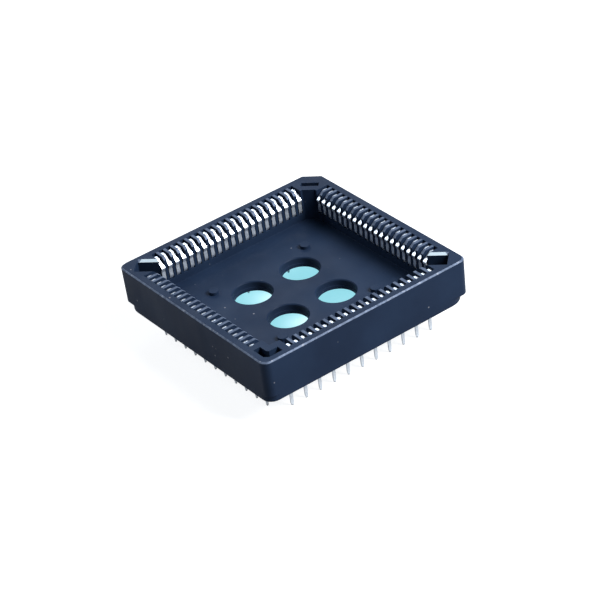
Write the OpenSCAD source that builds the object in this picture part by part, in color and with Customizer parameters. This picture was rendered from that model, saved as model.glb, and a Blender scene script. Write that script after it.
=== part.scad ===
// Through-hole socket for a square 84-lead chip carrier: one moulded tray with
// a row of stamped spring contacts in slots along each side. The tails come out
// below on a 2.54 mm grid in two square rows. Sizes in mm. Z = 0 is the board
// that the stand-off feet sit on, and the origin is the centre of the square.
// Distances called "inset" run inward from an outer face.

/* [Body] */
// Thickness of each wall, from the outer face to the faces of its ribs
wall_w = 3.4; // [3.2:0.05:4]
// Height from the underside to the top face
body_h = 6.8; // [6.4:0.1:9]
// Thickness of the floor
floor_t = 1.6; // [1.2:0.1:2]
// Thickness of the rim outside the contact slots
rim_w = 1.2; // [1:0.05:1.6]
// How much each side leans in towards the underside
draft = 0.1; // [0.05:0.05:0.3]
// Bevel round the outer top edge
edge_bevel = 0.2; // [0.1:0.05:0.4]
// Radius of the three plain outer corners
corner_r = 1.25; // [0.5:0.05:2]
// Leg of the chamfer on the index corner
index_chamfer = 2.55; // [1:0.05:3.5]
// Height of the foot band that is cut back at the corners
band_h = 0.95; // [0.5:0.05:1.5]
// Corner radius of the foot band under the two extraction slots
band_slot_r = 3.4; // [2:0.1:4]
// Corner radius of the foot band at the other corners
band_r = 1.75; // [1.5:0.05:3]

/* [Chip pocket] */
// Distance from the middle of the last slot of a side to the corner of the pocket
corner_land = 2.15; // [1.9:0.05:2.6]
// Distance from the outer corner point to the cut corner of the pocket
pocket_corner = 5.8; // [5.3:0.1:7]
// Width and depth of the lead-in at the top of the ribs
rib_lead = 0.45; // [0.2:0.05:0.6]
// Diameter of the studs that the chip rests on
stud_d = 1.5; // [1:0.1:3]
// Height of the studs above the floor
stud_h = 0.5; // [0.3:0.1:1]
// Distance of the studs from each centre line
stud_at = 8.5; // [8.3:0.1:10]

/* [Floor holes] */
// Diameter of the four floor holes
hole_d = 6; // [5:0.1:6.5]
// Distance of the holes from each centre line
hole_at = 4.4; // [3.6:0.1:4.8]
// Step in radius below the upper part of a hole
hole_step = 0.08; // [0.05:0.01:0.3]
// Depth of the upper part of a hole
hole_step_depth = 1; // [0.5:0.1:1.1]
// Bevel at the mouth of a hole
hole_bevel = 0.15; // [0.1:0.05:0.3]

/* [Corner features] */
// Width of the extraction slots
pull_w = 2.65; // [2:0.05:3]
// Distance from an outer corner point to the closed end of an extraction slot
pull_end = 2.75; // [2.4:0.05:4]
// Bevel along the extraction slots
pull_bevel = 0.35; // [0.2:0.05:0.5]
// Length of the index slot
index_slot_l = 2.75; // [1.5:0.05:3.5]
// Width of the index slot
index_slot_w = 0.9; // [0.5:0.05:1.2]
// Distance from the outer corner point to the middle of the index slot
index_slot_at = 4.2; // [3.8:0.1:5]
// Depth of the index slot and of the chevron recess
recess_depth = 3; // [1:0.1:4]
// Inset of the outer edge of the chevron recess
chevron_inset = 1.1; // [0.8:0.05:1.4]
// Width of the arms of the chevron recess
chevron_w = 1.15; // [0.6:0.05:1.4]
// Length of the arms of the chevron recess
chevron_l = 2.9; // [1.5:0.1:3.2]
// Diameter of the stand-off feet
foot_d = 2.2; // [1.5:0.1:2.6]
// Height of the stand-off feet
foot_h = 0.9; // [0.5:0.1:1.5]
// Inset of the centres of the stand-off feet
foot_inset = 2.95; // [2.8:0.05:3.5]

/* [Contacts] */
// Contacts along each side
per_side = 21; // [17:2:21]
// Pitch of the contacts
pitch = 1.27; // [1.2:0.01:1.27]
// Thickness of the contact strip
strip_t = 0.2; // [0.15:0.01:0.25]
// Width of the contact strip at its bulge and its base
strip_w = 0.6; // [0.5:0.05:0.65]
// Width of the contact strip at the top of its arch
arch_w = 0.42; // [0.3:0.02:0.5]
// Gap between a contact and each side of its slot
slot_gap = 0.1; // [0.05:0.01:0.12]
// Depth of the open slots below the top face
slot_depth = 4; // [3.8:0.1:4.3]
// Depth of the top of the arch below the top face
arch_depth = 0.3; // [0.1:0.05:0.6]
// Inset of the far side of the arch
arch_inset = 2.15; // [2.05:0.05:2.4]
// How far the bulge stands out of the rib faces
bulge_out = 0.25; // [0.1:0.05:0.4]
// Depth of the bulge below the top face
bulge_depth = 1.55; // [1.4:0.05:2]
// Lean of the outer leg on the contacts of the outer row
leg_lean = 0.25; // [0.1:0.05:0.3]

/* [Tails] */
// Length of the tails below the board face
tail_l = 3.5; // [2.5:0.1:4.5]
// Width of the tails
tail_w = 0.5; // [0.35:0.05:0.6]
// Length of the pointed end of a tail
tail_point = 0.5; // [0.2:0.1:1]

/* [Hidden] */
SIDES = ["front", "right", "back", "left"];
pairs = (per_side - 1) / 2;
function pair_name(side, i) = str(side, "_pair_", i);
function end_name(side) = str(side, "_end_contact");

plastic = [0.10, 0.11, 0.14];
tin = [0.84, 0.85, 0.87];

// Numbers of faces on round features and steps in a bend of the strip
round_fn = 64;
corner_fn = 32;
bend_steps = 4;
// Extra length of a cutting shape beyond the face it cuts
over = 1;

underside = foot_h;
top = foot_h + body_h;
floor_top = underside + floor_t;
row_half = (per_side - 1) / 2 * pitch;
pocket_half = row_half + corner_land;
half = pocket_half + wall_w;
diagonal = half * sqrt(2);
slot_w = strip_w + 2 * slot_gap;
slot_floor = top - slot_depth;
leg_channel = 5 * strip_t;
leg_inset = rim_w + strip_t / 2;
// The base of each contact lies in a groove, against the ceiling of the groove
groove_depth = 2 * strip_t;
base_z = underside + groove_depth - strip_t / 2;
// The tails stand on a grid of two pitches, so the inner row is as far from the
// centre as the end contacts are, and the outer row is two pitches further out
inner_tail = half - row_half;
outer_tail = inner_tail - 2 * pitch;
jog_inset = (outer_tail + inner_tail) / 2;
// The spring's free end stops short of the floor of its slot
end_gap = 0.15;
bulge_inset = wall_w + bulge_out - strip_t / 2;

// ---- Strip metal -----------------------------------------------------------

function unit(v) = v / norm(v);
function left_of(v) = [-v.y, v.x];
function turned(v, a) = [v.x * cos(a) - v.y * sin(a), v.x * sin(a) + v.y * cos(a)];
function flat(p) = [p[0], p[1]];

// A rounded corner of a path as stations: [point, left-hand normal]
function bend(before, corner, after) = let (
    come = unit(flat(corner) - flat(before)),
    go = unit(flat(after) - flat(corner)),
    turn = atan2(come.x * go.y - come.y * go.x, come * go),
    side = sign(turn),
    radius = corner[2],
    centre = flat(corner) - come * radius * tan(abs(turn) / 2) + side * radius * left_of(come)
) [for (i = [0 : bend_steps]) let (n = left_of(turned(come, turn * i / bend_steps)))
    [centre - side * radius * n, n]];

// Stations along a path of [x, y, bend radius] corners
function stations(path) = let (
    last = len(path) - 1,
    first_n = left_of(unit(flat(path[1]) - flat(path[0]))),
    last_n = left_of(unit(flat(path[last]) - flat(path[last - 1])))
) concat(
    [[flat(path[0]), first_n]],
    [for (i = [1 : last - 1]) each bend(path[i - 1], path[i], path[i + 1])],
    [[flat(path[last]), last_n]]
);

// Outline of a strip of sheet metal that follows a path, seen from its edge
module strip_edge(path) {
    run = stations(path);
    polygon(concat(
        [for (s = run) s[0] + s[1] * strip_t / 2],
        [for (i = [len(run) - 1 : -1 : 0]) run[i][0] - run[i][1] * strip_t / 2]
    ));
}

// Extrudes an (inset, z) outline along the wall
module along_wall(width) {
    rotate([90, 0, 90]) linear_extrude(height = width, center = true) children();
}

// Extrudes an (along the wall, z) outline inward, from the outer face to the centre
module into_wall() {
    translate([0, half, 0]) rotate([90, 0, 0]) linear_extrude(height = half) children();
}

// Outline, symmetric about the Z axis, from [half width, z] points going up
module mirrored_outline(rise) {
    polygon(concat(
        [for (p = rise) [p[0], p[1]]],
        [for (i = [len(rise) - 1 : -1 : 0]) [-rise[i][0], rise[i][1]]]
    ));
}

// ---- Contacts, drawn at inset 0 on the centre line of their slot ---------------

// Leg, arch, bulge and free end, from base_from inward of the leg
module spring(base_from, lean) {
    arch_z = top - arch_depth - strip_t / 2;
    bulge_z = top - bulge_depth;
    path = [
        [base_from, base_z, 0],
        [leg_inset, base_z, 0.25],
        [leg_inset, slot_floor + 1.2, 1.5],
        [leg_inset + lean, arch_z, 0.22],
        [arch_inset + lean / 2, arch_z, 0.3],
        [bulge_inset, bulge_z, 0.16],
        [wall_w - 0.1, bulge_z - 0.65, 0.5],
        [wall_w - 0.02, slot_floor + 0.55, 0.6],
        [wall_w - 0.22, slot_floor + end_gap, 0]
    ];
    front = [
        [strip_w / 2, underside],
        [strip_w / 2, bulge_z + 0.1],
        [arch_w / 2, top]
    ];
    intersection() {
        along_wall(strip_w) strip_edge(path);
        into_wall() mirrored_outline(front);
    }
}

// Pointed tail and the short base that joins it to the spring
module tail(at, base_to) {
    front = [
        [tail_w / 5, -tail_l],
        [tail_w / 2, -tail_l + tail_point],
        [tail_w / 2, top]
    ];
    intersection() {
        along_wall(tail_w) strip_edge([[at, -tail_l, 0], [at, base_z, 0.2], [base_to, base_z, 0]]);
        into_wall() mirrored_outline(front);
    }
}

// Contact with its tail in the outer row, straight below its spring
module outer_contact() {
    spring(outer_tail - 2 * strip_t, leg_lean);
    tail(outer_tail, leg_inset + 2 * strip_t);
}

// Contact with its tail in the inner row, one pitch along from its spring
module inner_contact() {
    spring(jog_inset, 0);
    translate([pitch, 0, 0]) tail(inner_tail, jog_inset);
    translate([-strip_w / 2, jog_inset - tail_w / 2, base_z - strip_t / 2])
        cube([pitch + (strip_w + tail_w) / 2, tail_w, strip_t]);
}

// Place of contact number k, counted from the left end of its side
module at_contact(k) {
    translate([k * pitch - row_half, -half, 0]) children();
}

module on_side(side) {
    rotate([0, 0, 90 * search([side], SIDES)[0]]) children();
}

module contact_pair(side, i) {
    color(tin) on_side(side) {
        at_contact(2 * i - 2) outer_contact();
        at_contact(2 * i - 1) inner_contact();
    }
}

module end_contact(side) {
    color(tin) on_side(side) at_contact(per_side - 1) outer_contact();
}

// ---- Housing ---------------------------------------------------------------

// Slab of the body's outline, each side moved in, with plain rounded corners
module body_slab(inset, z) {
    w = half - inset - corner_r;
    for (x = [-w, w], y = [-w, w])
        translate([x, y, z]) cylinder(r = corner_r, h = 0.01, $fn = corner_fn);
}

module body_block() {
    difference() {
        hull() {
            body_slab(draft, underside);
            body_slab(0, top - edge_bevel - 0.01);
            body_slab(edge_bevel, top - 0.01);
        }
        // index corner
        translate([half, half, underside - over]) rotate([0, 0, 45])
            translate([-index_chamfer / sqrt(2), -half, 0])
                cube([index_chamfer, 2 * half, body_h + 2 * over]);
        corner_relief(-half, -half, band_r);
        corner_relief(half, -half, band_slot_r);
        corner_relief(-half, half, band_slot_r);
    }
}

// Cuts the foot band back to a larger corner radius
module corner_relief(x, y, radius) {
    translate([x, y, underside - over]) mirror([x > 0 ? 1 : 0, 0, 0]) mirror([0, y > 0 ? 1 : 0, 0])
        difference() {
            translate([-over, -over, 0]) cube([radius + over, radius + over, band_h + over]);
            translate([radius, radius, -over])
                cylinder(r = radius - draft, h = band_h + 3 * over, $fn = round_fn);
        }
}

// Square pocket with one corner cut at 45 degrees
module pocket() {
    w = pocket_half;
    cut = pocket_corner * sqrt(2) - 2 * wall_w;
    translate([0, 0, floor_top]) linear_extrude(height = body_h)
        polygon([[-w, -w], [w, -w], [w, w - cut], [w - cut, w], [-w, w]]);
}

// Sloping lead-in along the tops of the ribs of the front wall
module rib_lead_in() {
    translate([0, -half, 0]) along_wall(2 * row_half + slot_w)
        polygon([
            [wall_w + over, top + over],
            [wall_w - rib_lead - over, top + over],
            [wall_w - rib_lead, top],
            [wall_w, top - rib_lead],
            [wall_w + over, top - rib_lead - over]
        ]);
}

// Open slot for the spring and channel for the leg, at inset 0
module contact_slot() {
    translate([-slot_w / 2, rim_w, slot_floor])
        cube([slot_w, wall_w - rim_w + over / 2, slot_depth + over]);
    translate([-slot_w / 2, rim_w, underside - over])
        cube([slot_w, leg_channel, slot_floor - underside + 2 * over]);
}

// Groove in the underside from one inset to another
module groove(x_from, x_to, from, to) {
    translate([x_from - slot_w / 2, from, underside - over])
        cube([x_to - x_from + slot_w, to - from, groove_depth + over]);
}

module outer_slot() {
    contact_slot();
    groove(0, 0, rim_w, outer_tail + slot_w / 2);
}

module inner_slot() {
    contact_slot();
    groove(0, 0, rim_w, jog_inset + slot_w / 2);
    groove(0, pitch, jog_inset - slot_w / 2, jog_inset + slot_w / 2);
    groove(pitch, pitch, jog_inset, inner_tail + slot_w / 2);
}

module floor_hole() {
    translate([0, 0, underside - over])
        cylinder(d = hole_d - 2 * hole_step, h = floor_t + 2 * over, $fn = round_fn);
    translate([0, 0, floor_top - hole_step_depth])
        cylinder(d = hole_d, h = hole_step_depth + over, $fn = round_fn);
    translate([0, 0, floor_top - hole_bevel])
        cylinder(d1 = hole_d, d2 = hole_d + 4 * hole_bevel, h = 2 * hole_bevel, $fn = round_fn);
}

// Extraction slot from the closed end to inside the pocket, drawn from the corner point
module extraction_slot() {
    length = wall_w * sqrt(2) + pull_w - pull_end;
    translate([-pull_end, 0, top]) rotate([0, -90, 0]) linear_extrude(height = length)
        polygon([
            [floor_top - top, pull_w / 2],
            [-pull_bevel, pull_w / 2],
            [over, pull_w / 2 + pull_bevel + over],
            [over, -pull_w / 2 - pull_bevel - over],
            [-pull_bevel, -pull_w / 2],
            [floor_top - top, -pull_w / 2]
        ]);
}

module index_slot() {
    translate([-index_slot_at - index_slot_w / 2, -index_slot_l / 2, top - recess_depth])
        cube([index_slot_w, index_slot_l, recess_depth + over]);
}

// Chevron recess at the corner across from the index corner
module chevron() {
    elbow = chevron_w / 2;
    translate([chevron_inset, chevron_inset, top - recess_depth])
        linear_extrude(height = recess_depth + over)
            polygon([
                [elbow, 0],
                [chevron_l, 0],
                [chevron_l, chevron_w],
                [chevron_w + elbow / 2, chevron_w],
                [chevron_w, chevron_w + elbow / 2],
                [chevron_w, chevron_l],
                [0, chevron_l],
                [0, elbow]
            ]);
}

module studs_and_feet() {
    for (x = [-1, 1], y = [-1, 1]) {
        translate([x * stud_at, y * stud_at, floor_top - floor_t / 2])
            cylinder(d = stud_d, h = floor_t / 2 + stud_h, $fn = round_fn);
        translate([x * (half - foot_inset), y * (half - foot_inset), 0])
            cylinder(d = foot_d, h = foot_h + floor_t / 2, $fn = round_fn);
    }
}

module housing() {
    color(plastic) {
        difference() {
            body_block();
            pocket();
            for (side = SIDES) on_side(side) {
                rib_lead_in();
                for (i = [1 : pairs]) {
                    at_contact(2 * i - 2) outer_slot();
                    at_contact(2 * i - 1) inner_slot();
                }
                at_contact(per_side - 1) outer_slot();
            }
            for (x = [-hole_at, hole_at], y = [-hole_at, hole_at])
                translate([x, y, 0]) floor_hole();
            rotate([0, 0, -45]) translate([diagonal, 0, 0]) extraction_slot();
            rotate([0, 0, 135]) translate([diagonal, 0, 0]) extraction_slot();
            rotate([0, 0, 45]) translate([diagonal, 0, 0]) index_slot();
            translate([-half, -half, 0]) chevron();
        }
        studs_and_feet();
    }
}

housing();
for (side = SIDES) {
    for (i = [1 : pairs])
        contact_pair(side, i);
    end_contact(side);
}
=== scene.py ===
# An ic socket dressed for its picture: black moulded plastic and tin-plated contacts.
import math

import bpy
from mathutils import Matrix, Vector


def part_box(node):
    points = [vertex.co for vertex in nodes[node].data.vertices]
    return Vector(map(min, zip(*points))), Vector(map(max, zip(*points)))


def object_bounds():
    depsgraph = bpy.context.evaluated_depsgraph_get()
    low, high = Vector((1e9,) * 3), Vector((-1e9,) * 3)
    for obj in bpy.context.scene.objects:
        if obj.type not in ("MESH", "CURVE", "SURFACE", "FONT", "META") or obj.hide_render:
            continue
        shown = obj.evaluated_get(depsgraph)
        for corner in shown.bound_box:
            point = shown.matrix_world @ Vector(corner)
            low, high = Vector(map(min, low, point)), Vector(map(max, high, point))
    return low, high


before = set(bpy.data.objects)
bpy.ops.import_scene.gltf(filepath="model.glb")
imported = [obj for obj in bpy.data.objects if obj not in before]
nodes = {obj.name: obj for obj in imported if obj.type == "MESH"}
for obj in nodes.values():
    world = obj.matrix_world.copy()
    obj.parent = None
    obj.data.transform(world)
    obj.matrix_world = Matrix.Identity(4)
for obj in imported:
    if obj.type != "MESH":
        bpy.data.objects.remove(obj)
cad_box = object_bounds()
MM = 0.001

# The body's own box: its centre is the origin, and its top is the rim.
body_lo, body_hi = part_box("housing")
TOP = body_hi.z
HALF = body_hi.x
FLOOR_Z = cad_box[0].z

# Places on the housing, measured inward from an outer face and down from the rim.
RIM_W = 1.2 * MM
WALL_W = 3.4 * MM
SLOTS_START = 5.15 * MM
EDGE_DEPTH = 0.9 * MM
COS_45 = 0.707


# ---- Small helpers for node trees ---------------------------------------------
class Tree:
    """A material's node tree, with short calls to add and link nodes."""

    def __init__(self, name):
        self.mat = bpy.data.materials.new(name)
        self.mat.use_nodes = True
        self.tree = self.mat.node_tree
        self.tree.nodes.clear()
        self.out = self.tree.nodes.new("ShaderNodeOutputMaterial")

    def node(self, kind, **values):
        made = self.tree.nodes.new(kind)
        for key, value in values.items():
            setattr(made, key, value)
        return made

    def put(self, socket, value):
        if isinstance(value, bpy.types.NodeSocket):
            self.tree.links.new(value, socket)
        else:
            socket.default_value = value

    def math(self, op, a, b=0.0, c=0.0, clamp=False):
        made = self.node("ShaderNodeMath", operation=op, use_clamp=clamp)
        for socket, value in zip(made.inputs, (a, b, c)):
            self.put(socket, value)
        return made.outputs[0]

    def mix(self, factor, a, b):
        made = self.node("ShaderNodeMix", data_type="RGBA")
        self.put(made.inputs["Factor"], factor)
        self.put(made.inputs["A"], a)
        self.put(made.inputs["B"], b)
        return made.outputs["Result"]

    def ramp(self, value, low, high, to_low=0.0, to_high=1.0):
        made = self.node("ShaderNodeMapRange", clamp=True)
        for key, v in (
            ("Value", value),
            ("From Min", low),
            ("From Max", high),
            ("To Min", to_low),
            ("To Max", to_high),
        ):
            self.put(made.inputs[key], v)
        return made.outputs[0]

    def coords(self, scale=(1, 1, 1)):
        place = self.node("ShaderNodeTexCoord")
        mapping = self.node("ShaderNodeMapping")
        mapping.inputs["Scale"].default_value = scale
        self.put(mapping.inputs["Vector"], place.outputs["Object"])
        return mapping.outputs[0]

    def noise(self, vector, scale, detail=3.0, roughness=0.55):
        made = self.node("ShaderNodeTexNoise")
        self.put(made.inputs["Vector"], vector)
        made.inputs["Scale"].default_value = scale
        made.inputs["Detail"].default_value = detail
        made.inputs["Roughness"].default_value = roughness
        return made.outputs[0]

    def bump(self, height, distance, strength=1.0, normal=None):
        made = self.node("ShaderNodeBump")
        made.inputs["Strength"].default_value = strength
        made.inputs["Distance"].default_value = distance
        self.put(made.inputs["Height"], height)
        if normal is not None:
            self.put(made.inputs["Normal"], normal)
        return made.outputs[0]


def rgb(r, g, b):
    """A colour written as it shows on screen, 0 to 255, turned into linear light."""

    def lin(c):
        c = c / 255
        return c / 12.92 if c <= 0.04045 else ((c + 0.055) / 1.055) ** 2.4

    return (lin(r), lin(g), lin(b), 1.0)


# ---- Materials ------------------------------------------------------------------
def plastic():
    """Moulded glass-filled plastic: blue-black, fine grain, flow marks, paler bevels and rib tops as
    painted highlights, dust.
    """
    t = Tree("moulded_plastic")
    where = t.coords()
    grain = t.noise(where, 9000, 2.0)
    flow = t.noise(t.coords((1, 1, 0.35)), 260, 4.0)
    cloud = t.noise(where, 90, 3.0)
    base = t.mix(t.ramp(cloud, 0.35, 0.65), rgb(26, 38, 58), rgb(31, 45, 67))
    # painted highlight: the 45 degree bevels and the tops of the ribs between the slots are made
    # paler, as if they catch the light
    edge = t.node("ShaderNodeBevel", samples=6)
    edge.inputs["Radius"].default_value = 0.08 * MM
    true = t.node("ShaderNodeNewGeometry")
    facing = t.node("ShaderNodeSeparateXYZ")
    t.put(facing.inputs[0], true.outputs["True Normal"])
    up = facing.outputs[2]
    off = t.math("ABSOLUTE", t.math("SUBTRACT", up, COS_45))
    place = t.node("ShaderNodeSeparateXYZ")
    t.put(place.inputs[0], where)
    high = t.ramp(place.outputs[2], TOP - EDGE_DEPTH, TOP - EDGE_DEPTH + 0.1 * MM)
    bevels = t.math("MULTIPLY", t.ramp(off, 0.06, 0.16, 1.0, 0.0), high)
    x = t.math("ABSOLUTE", place.outputs[0])
    y = t.math("ABSOLUTE", place.outputs[1])
    out = t.math("MAXIMUM", x, y)
    along = t.math("MINIMUM", x, y)
    rib = t.ramp(out, HALF - WALL_W - 0.1 * MM, HALF - WALL_W)
    outside = t.ramp(out, HALF - RIM_W - 0.15 * MM, HALF - RIM_W, 1.0, 0.0)
    rib = t.math("MULTIPLY", rib, outside)
    beyond = t.ramp(along, HALF - SLOTS_START - 0.05 * MM, HALF - SLOTS_START, 1.0, 0.0)
    rib = t.math("MULTIPLY", rib, beyond)
    rib = t.math("MULTIPLY", rib, high)
    rib = t.math("MULTIPLY", rib, t.ramp(up, 0.3, 0.6))
    patchy = t.ramp(t.noise(where, 1500, 3.0), 0.30, 0.65, 0.45, 1.0)
    # painted highlight mask on the bevels and rib tops, mixed towards a pale blue-grey below
    edge_highlight = t.math("MAXIMUM", bevels, t.math("MULTIPLY", rib, 0.5))
    edge_highlight = t.math("MULTIPLY", edge_highlight, patchy)
    colour = t.mix(t.math("MULTIPLY", edge_highlight, 0.65), base, rgb(140, 156, 184))
    # painted highlight: the extraction slots' bevels are made pale, as if lit; the outer edge is
    # nicked
    past_slots = t.ramp(
        along, HALF - SLOTS_START - 0.05 * MM, HALF - SLOTS_START + 0.05 * MM
    )
    corner = t.math("MULTIPLY", bevels, past_slots)
    inside = t.ramp(out, HALF - RIM_W, HALF - RIM_W + 0.1 * MM, 1.0, 0.0)
    corner = t.math("MULTIPLY", corner, inside)
    # the slot-bevel mask carries a near-white painted highlight colour
    colour = t.mix(t.math("MULTIPLY", corner, 0.85), colour, rgb(205, 224, 236))
    nick = t.ramp(t.noise(where, 1400, 2.0), 0.61, 0.66)
    nick = t.math("MULTIPLY", nick, t.ramp(out, HALF - 0.40 * MM, HALF - 0.25 * MM))
    nick = t.math("MULTIPLY", nick, bevels)
    colour = t.mix(t.math("MULTIPLY", nick, 0.45), colour, rgb(176, 184, 200))
    speck = t.node("ShaderNodeTexVoronoi", feature="F1")
    t.put(speck.inputs["Vector"], where)
    speck.inputs["Scale"].default_value = 700
    dust = t.ramp(speck.outputs["Distance"], 0.06, 0.12, 1.0, 0.0)
    rare = t.ramp(t.noise(where, 350, 1.0), 0.60, 0.64)
    dust = t.math("MULTIPLY", dust, rare)
    colour = t.mix(t.math("MULTIPLY", dust, 0.6), colour, rgb(150, 152, 160))
    shader = t.node("ShaderNodeBsdfPrincipled")
    t.put(shader.inputs["Base Color"], colour)
    t.put(shader.inputs["Roughness"], t.ramp(flow, 0.3, 0.7, 0.38, 0.50))
    shader.inputs["IOR"].default_value = 1.5
    shader.inputs["Specular IOR Level"].default_value = 0.04
    height = t.math("ADD", grain, t.math("MULTIPLY", flow, 0.6))
    t.put(
        shader.inputs["Normal"],
        t.bump(height, 0.006 * MM, 0.6, edge.outputs[0]),
    )
    t.put(t.out.inputs[0], shader.outputs[0])
    return t.mat


def tin():
    """Tin plate on a stamped strip: bright, with fine draw lines and small grains."""
    t = Tree("tin_plate")
    where = t.coords((1, 1, 0.12))
    lines = t.noise(where, 14000, 2.0)
    grains = t.noise(t.coords(), 2600, 3.0)
    shader = t.node("ShaderNodeBsdfPrincipled")
    bright = t.mix(t.ramp(grains, 0.3, 0.7), rgb(202, 213, 226), rgb(226, 234, 243))
    # painted shade: the strips are darkened where they lie close to the plastic, deep in the slots
    slot_shade = t.node("ShaderNodeAmbientOcclusion", samples=8)
    slot_shade.inputs["Distance"].default_value = 0.5 * MM
    t.put(
        shader.inputs["Base Color"],
        # the occlusion mask mixes in a dark blue-grey as painted shade
        t.mix(t.ramp(slot_shade.outputs["AO"], 0.40, 0.80), rgb(52, 58, 70), bright),
    )
    # the tails are dipped in solder, which is whiter and duller than the plate
    place = t.node("ShaderNodeSeparateXYZ")
    t.put(place.inputs[0], t.coords())
    t.put(shader.inputs["Metallic"], t.ramp(place.outputs[2], -0.6 * MM, 0.4 * MM, 0.35, 0.74))
    t.put(shader.inputs["Roughness"], t.ramp(grains, 0.3, 0.7, 0.30, 0.42))
    t.put(shader.inputs["Normal"], t.bump(lines, 0.004 * MM, 0.4))
    t.put(t.out.inputs[0], shader.outputs[0])
    return t.mat


def give(node, mat):
    """Puts a material on every slot of a CAD node."""
    data = nodes[node].data
    if not data.materials:
        data.materials.append(mat)
    for i in range(len(data.materials)):
        data.materials[i] = mat


plastic_mat = plastic()
tin_mat = tin()
for name in nodes:
    give(name, plastic_mat if name == "housing" else tin_mat)


# ---- Floor and light --------------------------------------------------------------
def floor_material():
    """Pale floor that the camera sees as white, keeps a soft shadow and has a cool painted shade
    under the body.
    """
    t = Tree("pale_floor")
    place = t.coords()
    split = t.node("ShaderNodeSeparateXYZ")
    t.put(split.inputs[0], place)
    out = t.math(
        "MAXIMUM",
        t.math("ABSOLUTE", t.math("SUBTRACT", split.outputs[0], 0.14 * HALF)),
        t.math("ABSOLUTE", t.math("SUBTRACT", split.outputs[1], 0.19 * HALF)),
    )
    # painted shade: a cooler, darker patch of floor colour under the body, for camera rays
    shade_under_body = t.ramp(out, 0.60 * HALF, 0.72 * HALF, 1.0, 0.0)
    grain = t.noise(place, 60, 2.0)
    diffuse = t.node("ShaderNodeBsdfDiffuse")
    pale = t.mix(grain, (0.40, 0.40, 0.40, 1), (0.42, 0.42, 0.42, 1))
    t.put(diffuse.inputs["Color"], pale)
    glow = t.node("ShaderNodeEmission")
    seen_colour = t.mix(shade_under_body, (0.86, 0.87, 0.88, 1), (0.30, 0.72, 0.82, 1))
    t.put(glow.inputs["Color"], seen_colour)
    rays = t.node("ShaderNodeLightPath")
    seen = t.math("MAXIMUM", rays.outputs["Is Camera Ray"], rays.outputs["Is Transmission Ray"])
    seen = t.math("MAXIMUM", seen, t.math("MULTIPLY", rays.outputs["Is Glossy Ray"], 0.6))
    t.put(glow.inputs["Strength"], seen)
    both = t.node("ShaderNodeAddShader")
    t.put(both.inputs[0], diffuse.outputs[0])
    t.put(both.inputs[1], glow.outputs[0])
    t.put(t.out.inputs[0], both.outputs[0])
    return t.mat


bpy.ops.mesh.primitive_plane_add(size=4.0, location=(0, 0, FLOOR_Z - 0.00002))
floor = bpy.context.object
floor.name = "studio_floor"
floor.data.materials.append(floor_material())

world = bpy.data.worlds.new("studio")
bpy.context.scene.world = world
world.use_nodes = True
wt = world.node_tree
wt.nodes.clear()
w_out = wt.nodes.new("ShaderNodeOutputWorld")
w_bg = wt.nodes.new("ShaderNodeBackground")
w_bg.inputs["Color"].default_value = (0.93, 0.96, 1.0, 1)
w_rays = wt.nodes.new("ShaderNodeLightPath")
w_mix = wt.nodes.new("ShaderNodeMapRange")
w_mix.inputs["To Min"].default_value = 0.10
w_mix.inputs["To Max"].default_value = 1.0
w_seen = wt.nodes.new("ShaderNodeMath")
w_seen.operation = "MAXIMUM"
wt.links.new(w_rays.outputs["Is Camera Ray"], w_seen.inputs[0])
wt.links.new(w_rays.outputs["Is Glossy Ray"], w_seen.inputs[1])
wt.links.new(w_seen.outputs[0], w_mix.inputs["Value"])
wt.links.new(w_mix.outputs[0], w_bg.inputs["Strength"])
wt.links.new(w_bg.outputs[0], w_out.inputs[0])


def lamp(name, azimuth, elevation, distance, size, power, colour=(1, 1, 1)):
    """Soft square lamp that looks at the object. Azimuth 0 is in front, 90 to the right."""
    a, e = math.radians(azimuth), math.radians(elevation)
    back = Vector((math.sin(a) * math.cos(e), -math.cos(a) * math.cos(e), math.sin(e)))
    data = bpy.data.lights.new(name, "AREA")
    data.shape = "SQUARE"
    data.size = size
    data.energy = power
    data.color = colour
    made = bpy.data.objects.new(name, data)
    made.location = back * distance
    made.rotation_mode = "QUATERNION"
    made.rotation_quaternion = (-back).to_track_quat("-Z", "Y")
    bpy.context.scene.collection.objects.link(made)


lamp("key", 36, 44, 0.40, 0.20, 2.9)
lamp("back", 150, 35, 0.30, 0.12, 0.20, (0.78, 0.88, 1.0))
lamp("far", 213, 36, 0.40, 0.14, 0.40, (0.90, 0.95, 1.0))


# ---- Camera ---------------------------------------------------------------------
# Its place is fitted to the object's own size: back, right and up directions in the
# row frame, its distance from the middle of the rim and two small sideways shifts.
BACK = Vector((-0.45352, -0.70237, 0.54863))
RIGHT = Vector((0.79115, -0.60070, -0.11504))
UP = BACK.cross(RIGHT).normalized()
AIM = Vector((0, 0, TOP - 0.2 * MM))
DISTANCE = 349.7206 * MM
SHIFT_RIGHT = 1.4119 * MM
SHIFT_DOWN = 5.3635 * MM
FOCAL_PX = 2407.75
IMAGE_PX = 600
SENSOR_MM = 36.0
cam_data = bpy.data.cameras.new("camera")
cam_data.sensor_width = SENSOR_MM
cam_data.lens = FOCAL_PX / IMAGE_PX * SENSOR_MM
cam_data.clip_start = 0.01
cam_data.clip_end = 20.0
cam = bpy.data.objects.new("camera", cam_data)
bpy.context.scene.collection.objects.link(cam)
spot = AIM + BACK * DISTANCE + RIGHT * SHIFT_RIGHT - UP * SHIFT_DOWN
turn = Matrix((RIGHT, UP, BACK)).transposed()
cam.matrix_world = Matrix.Translation(spot) @ turn.to_4x4()
bpy.context.scene.camera = cam

bpy.context.scene.view_settings.view_transform = "Standard"
